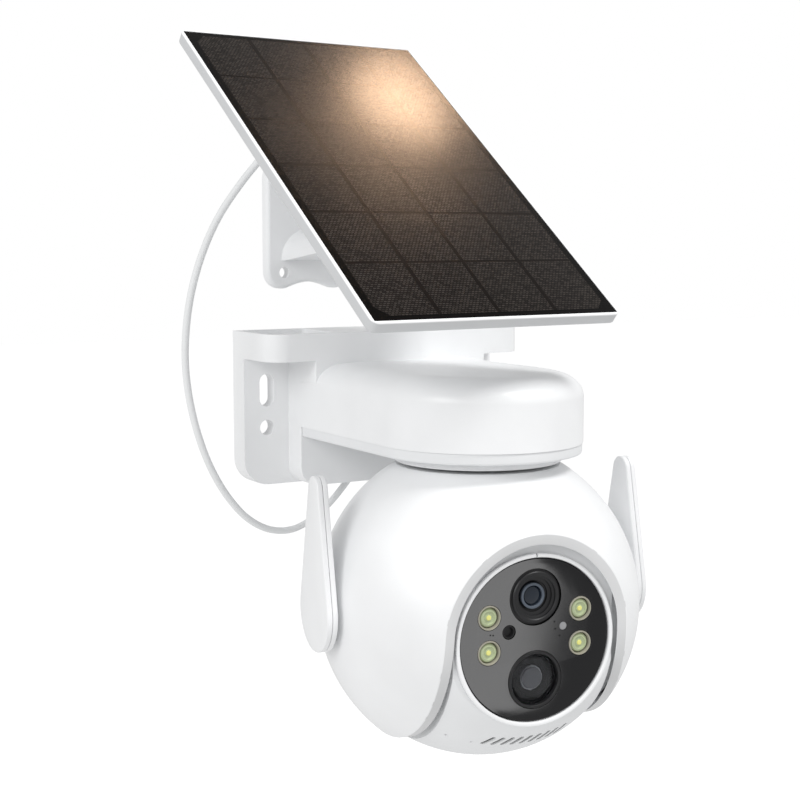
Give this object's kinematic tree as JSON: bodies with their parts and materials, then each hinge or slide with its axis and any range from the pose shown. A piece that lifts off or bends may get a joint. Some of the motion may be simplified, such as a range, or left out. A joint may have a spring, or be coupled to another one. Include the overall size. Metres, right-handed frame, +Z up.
{
  "type": "solar-powered security camera",
  "caption": "Solar-powered pan-and-tilt outdoor camera: ball head under a bracket arm, folding antennas, and a tilted solar panel on its own wall bracket with a cable.",
  "frame": {"origin": "middle of the camera bracket's back face, on the wall", "axes": "+Z up, +Y towards the wall, +X to the right as seen from the front; the camera looks along -Y"},
  "size_m": [0.1706, 0.1565, 0.2905],
  "materials": {
    "white": "satin",
    "grey": "satin",
    "black_plastic": "matte",
    "face": "gloss",
    "acetal": "satin",
    "steel": "satin",
    "rubber": "matte",
    "white_rubber": "matte",
    "board": "satin",
    "lens": "gloss",
    "reflector": "gloss",
    "pir": "gloss",
    "solar": "gloss",
    "cell": "satin",
    "cord": "matte"
  },
  "bodies": {
    "base": {"wall_bracket": "white", "arm_cover": "white", "cover_screw_1": "steel", "cover_screw_2": "steel", "neck_ring": "grey", "pan_bush": "acetal", "pan_motor": "steel", "cable_grommet": "rubber", "panel_bracket": "white", "hinge_bolt": "steel", "solar_cable": "cord"},
    "pan_pinion_body": {"pan_pinion": "acetal"},
    "pan_head": {"pan_hub": "grey", "pan_gear": "acetal", "pan_front_shell": "white", "pan_rear_cover": "white", "tilt_axle_left": "grey", "tilt_axle_right": "grey", "tilt_gear": "acetal"},
    "antenna_left": {"antenna_left_inner": "white", "antenna_left_outer": "white"},
    "antenna_right": {"antenna_right_inner": "white", "antenna_right_outer": "white"},
    "tilt_head": {"head_front_shell": "white", "head_rear_shell": "white", "trim_ring": "white", "face_plate": "face", "face_gasket": "rubber", "lens_barrel": "black_plastic", "lens_glass": "lens", "lamp_1": "reflector", "lamp_2": "reflector", "lamp_3": "reflector", "lamp_4": "reflector", "pir_lens": "pir", "pir_sensor": "steel", "light_sensor": "black_plastic", "lamp_board": "board", "sensor_board": "board", "main_board": "board", "speaker": "black_plastic", "battery_1": "cell", "battery_2": "cell", "battery_3": "cell", "battery_tray": "black_plastic", "tilt_motor": "steel", "card_tray": "black_plastic"},
    "tilt_pinion_body": {"tilt_pinion": "acetal"},
    "card_flap": {"card_cover": "white_rubber"},
    "button": {"reset_button": "grey"},
    "panel": {"panel_frame": "white", "solar_glass": "solar", "junction_box": "white", "cable_gland": "white_rubber", "hinge_lug": "white"},
    "knob": {"hinge_knob": "black_plastic"}
  },
  "joints": [
    {"name": "pan", "type": "hinge", "parent": "base", "child": "pan_head", "pos_m": [0, -0.0968, 0], "axis": [0, 0, 1], "range_deg": [-170, 185]},
    {"name": "pan_pinion_spin", "type": "hinge", "parent": "base", "child": "pan_pinion_body", "pos_m": [0, -0.0668, 0], "axis": [0, 0, 1], "range_deg": [-745, 685]},
    {"name": "tilt", "type": "hinge", "parent": "pan_head", "child": "tilt_head", "pos_m": [0, -0.0968, -0.07235], "axis": [0.9914, -0.1305, 0], "range_deg": [-15, 75]},
    {"name": "tilt_pinion_spin", "type": "hinge", "parent": "tilt_head", "child": "tilt_pinion_body", "pos_m": [-0.04779, -0.08056, -0.05381], "axis": [0.9914, -0.1305, 0], "range_deg": [-50, 245]},
    {"name": "antenna_left_fold", "type": "hinge", "parent": "pan_head", "child": "antenna_left", "pos_m": [-0.06544, -0.08819, -0.07085], "axis": [0.9914, -0.1305, 0], "range_deg": [-90, 90]},
    {"name": "antenna_right_fold", "type": "hinge", "parent": "pan_head", "child": "antenna_right", "pos_m": [0.06544, -0.10541, -0.07085], "axis": [0.9914, -0.1305, 0], "range_deg": [-90, 90]},
    {"name": "card_flap_open", "type": "hinge", "parent": "tilt_head", "child": "card_flap", "pos_m": [0.0009, -0.08996, -0.13335], "axis": [-0.9914, 0.1305, 0], "range_deg": [-100, 0]},
    {"name": "reset_press", "type": "slide", "parent": "tilt_head", "child": "button", "axis": [0, 0, 1], "range_m": [0, 0.0006], "stiffness_N_per_m": 400, "springref_m": -0.0005},
    {"name": "panel_tilt", "type": "hinge", "parent": "base", "child": "panel", "pos_m": [-0.028, -0.0701, 0.085], "axis": [0.9971, 0.0767, 0], "range_deg": [-2, 12]},
    {"name": "knob_turn", "type": "hinge", "parent": "base", "child": "knob", "pos_m": [-0.028, -0.0701, 0.085], "axis": [0.9971, 0.0767, 0], "range_deg": [-180, 180]}
  ],
  "couplings": [
    {"joint": "pan_pinion_spin", "follows": "pan", "ratio": -4},
    {"joint": "tilt_pinion_spin", "follows": "tilt", "ratio": 3.2}
  ]
}
